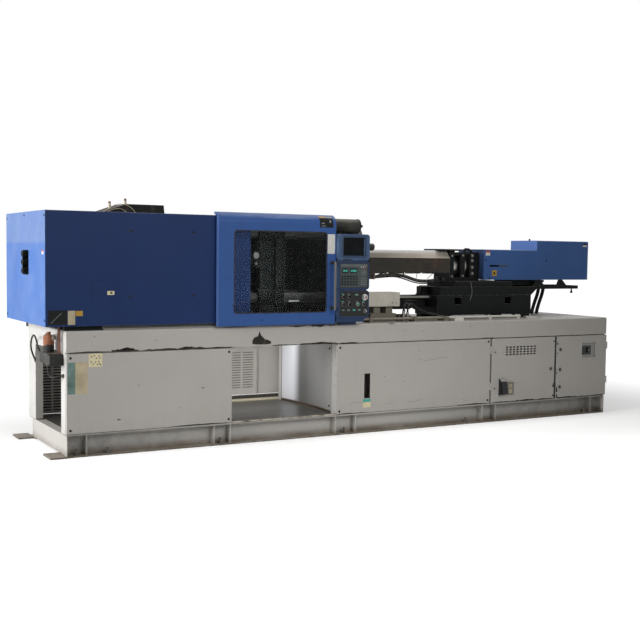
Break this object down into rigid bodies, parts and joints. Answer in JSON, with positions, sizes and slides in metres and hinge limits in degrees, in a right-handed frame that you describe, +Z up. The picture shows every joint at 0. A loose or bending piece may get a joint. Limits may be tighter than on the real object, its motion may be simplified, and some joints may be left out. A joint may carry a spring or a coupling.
{
  "type": "injection moulding machine",
  "caption": "Horizontal plastic injection moulding machine: hydraulic clamp under a hood, sliding guard doors, operator panel and injection unit on a long steel base.",
  "frame": {"origin": "middle of the machine's floor rectangle, on the floor", "axes": "+X along the machine from the clamp to the injection unit, +Y from the operator's side to the rear, +Z up"},
  "size_m": [5.697, 1.46, 1.96],
  "materials": {
    "base_grey": "warm light grey enamel, dusty, chipped along edges",
    "rail_grey": "grey enamel worn and soiled near the floor",
    "hood_blue": "dark blue enamel, fine dust",
    "door_blue": "dark blue enamel, fine dust",
    "panel_blue": "slate blue enamel",
    "black_paint": "black enamel, dusty",
    "cast_iron": "oily cast iron",
    "platen": "machined faces, painted sides",
    "steel": "bright machined steel with an oil film",
    "chromed": "polished hard chrome",
    "zinc": "zinc plated",
    "guard_brown": "dark heat-stained sheet, dusty on top",
    "window": "clear safety sheet",
    "screen": "dark display glass",
    "plate_white": "printed foil",
    "black_plastic": "satin black plastic",
    "red_plastic": "glossy red",
    "green_plastic": "glossy green",
    "beige": "beige enamel, dusty",
    "rubber_black": "black rubber hose",
    "brown_conduit": "dark corrugated conduit",
    "cover_blue": "dark blue enamel",
    "gauge": "clear sight glass"
  },
  "bodies": {
    "machine": {"front_rail": "rail_grey", "rear_rail": "rail_grey", "cross_beams": "rail_grey", "levelling_bolts": "zinc", "base_posts": "base_grey", "bed_deck": "base_grey", "front_panel_left": "base_grey", "front_panel_middle": "base_grey", "rear_panels": "base_grey", "bay_lining": "base_grey", "cabinet_shell": "base_grey", "power_pack": "base_grey", "level_gauge": "gauge", "end_valve_block": "cast_iron", "end_cable": "rubber_black", "rear_platen": "platen", "tie_bars": "steel", "fixed_platen": "platen", "clamp_hood": "hood_blue", "clamp_rear_cover": "hood_blue", "top_guard": "black_paint", "guard_frame": "panel_blue", "control_housing": "panel_blue", "control_plates": "plate_white", "monitor_screen": "screen", "accumulator": "black_paint", "injection_bed": "cast_iron", "deck_fittings": "beige", "carriage_hoses": "rubber_black"},
    "front guard door": {"front_door": "door_blue", "door_window": "window", "door_handle": "chromed"},
    "rear guard door": {"rear_door": "door_blue"},
    "clamp": {"moving_platen": "platen", "main_ram": "chromed"},
    "ejector unit": {"ejector": "steel"},
    "injection carriage": {"carriage": "cast_iron", "feed_housing": "cast_iron", "barrel": "steel", "barrel_guard": "guard_brown", "injection_cover": "cover_blue", "barrel_conduit": "brown_conduit"},
    "screw drive": {"drive_unit": "cast_iron"},
    "plasticising screw": {"screw": "steel"},
    "left cabinet door": {"cabinet_door_left": "base_grey"},
    "inlet lid": {"socket_lid": "black_plastic"},
    "left door lock": {"door_lock": "zinc"},
    "right cabinet door": {"cabinet_door_right": "base_grey"},
    "top latch": {"latch_top": "zinc"},
    "middle latch": {"latch_middle": "zinc"},
    "bottom latch": {"latch_bottom": "zinc"},
    "main breaker toggle": {"breaker_toggle": "black_plastic"},
    "stop push button": {"stop_button": "red_plastic"},
    "start push button": {"start_button": "green_plastic"},
    "pressure adjuster": {"pressure_knob": "black_plastic"},
    "key lock switch": {"key_switch": "black_plastic"},
    "selector top left": {"selector_top_left": "black_plastic"},
    "selector top right": {"selector_top_right": "black_plastic"},
    "selector low left": {"selector_low_left": "black_plastic"},
    "selector low right": {"selector_low_right": "black_plastic"}
  },
  "joints": [
    {"name": "front_door_slide", "type": "slide", "parent": "machine", "child": "front guard door", "axis": [-1, 0, 0], "range_m": [0, 0.9]},
    {"name": "rear_door_slide", "type": "slide", "parent": "machine", "child": "rear guard door", "axis": [-1, 0, 0], "range_m": [0, 0.9]},
    {"name": "platen_slide", "type": "slide", "parent": "machine", "child": "clamp", "axis": [1, 0, 0], "range_m": [-0.23, 0.27]},
    {"name": "ejector_slide", "type": "slide", "parent": "clamp", "child": "ejector unit", "axis": [1, 0, 0], "range_m": [0, 0.1]},
    {"name": "carriage_slide", "type": "slide", "parent": "machine", "child": "injection carriage", "axis": [-1, 0, 0], "range_m": [0, 0.26], "deforming": ["carriage_hoses"]},
    {"name": "injection_slide", "type": "slide", "parent": "injection carriage", "child": "screw drive", "axis": [1, 0, 0], "range_m": [0, 0.18]},
    {"name": "screw_spin", "type": "hinge", "parent": "screw drive", "child": "plasticising screw", "pos_m": [0.8305, -0.035, 1.44], "axis": [1, 0, 0], "continuous": true},
    {"name": "left_cabinet_door_hinge", "type": "hinge", "parent": "machine", "child": "left cabinet door", "pos_m": [1.3105, -0.589, 0.48], "axis": [0, 0, -1], "range_deg": [0, 110]},
    {"name": "right_cabinet_door_hinge", "type": "hinge", "parent": "machine", "child": "right cabinet door", "pos_m": [2.7725, -0.589, 0.48], "axis": [0, 0, 1], "range_deg": [0, 110]},
    {"name": "inlet_lid_hinge", "type": "hinge", "parent": "left cabinet door", "child": "inlet lid", "pos_m": [1.4385, -0.605, 0.392], "axis": [-1, 0, 0], "range_deg": [0, 100]},
    {"name": "left_lock_turn", "type": "hinge", "parent": "left cabinet door", "child": "left door lock", "pos_m": [2.0435, -0.591, 0.47], "axis": [0, 1, 0], "range_deg": [0, 90]},
    {"name": "top_latch_turn", "type": "hinge", "parent": "right cabinet door", "child": "top latch", "pos_m": [2.1605, -0.591, 0.65], "axis": [0, 1, 0], "range_deg": [0, 90]},
    {"name": "middle_latch_turn", "type": "hinge", "parent": "right cabinet door", "child": "middle latch", "pos_m": [2.1605, -0.591, 0.456], "axis": [0, 1, 0], "range_deg": [0, 90]},
    {"name": "bottom_latch_turn", "type": "hinge", "parent": "right cabinet door", "child": "bottom latch", "pos_m": [2.1605, -0.591, 0.287], "axis": [0, 1, 0], "range_deg": [0, 90]},
    {"name": "breaker_toggle_tilt", "type": "hinge", "parent": "machine", "child": "main breaker toggle", "pos_m": [2.5085, -0.573, 0.634], "axis": [1, 0, 0], "range_deg": [-20, 20]},
    {"name": "selector_top_left_turn", "type": "hinge", "parent": "machine", "child": "selector top left", "pos_m": [-0.3485, -0.695, 1.187], "axis": [0, 1, 0], "range_deg": [-45, 45]},
    {"name": "selector_top_right_turn", "type": "hinge", "parent": "machine", "child": "selector top right", "pos_m": [-0.2905, -0.695, 1.187], "axis": [0, 1, 0], "range_deg": [-45, 45]},
    {"name": "selector_low_left_turn", "type": "hinge", "parent": "machine", "child": "selector low left", "pos_m": [-0.3485, -0.695, 1.123], "axis": [0, 1, 0], "range_deg": [-45, 45]},
    {"name": "selector_low_right_turn", "type": "hinge", "parent": "machine", "child": "selector low right", "pos_m": [-0.2885, -0.695, 1.123], "axis": [0, 1, 0], "range_deg": [-45, 45]},
    {"name": "pressure_adjuster_turn", "type": "hinge", "parent": "machine", "child": "pressure adjuster", "pos_m": [-0.1515, -0.695, 1.123], "axis": [0, 1, 0], "range_deg": [0, 270]},
    {"name": "key_switch_turn", "type": "hinge", "parent": "machine", "child": "key lock switch", "pos_m": [-0.1335, -0.695, 1.064], "axis": [0, 1, 0], "range_deg": [0, 90]},
    {"name": "stop_button_press", "type": "slide", "parent": "machine", "child": "stop push button", "axis": [0, 1, 0], "range_m": [0, 0.005], "stiffness_N_per_m": 700},
    {"name": "start_button_press", "type": "slide", "parent": "machine", "child": "start push button", "axis": [0, 1, 0], "range_m": [0, 0.004], "stiffness_N_per_m": 500}
  ]
}
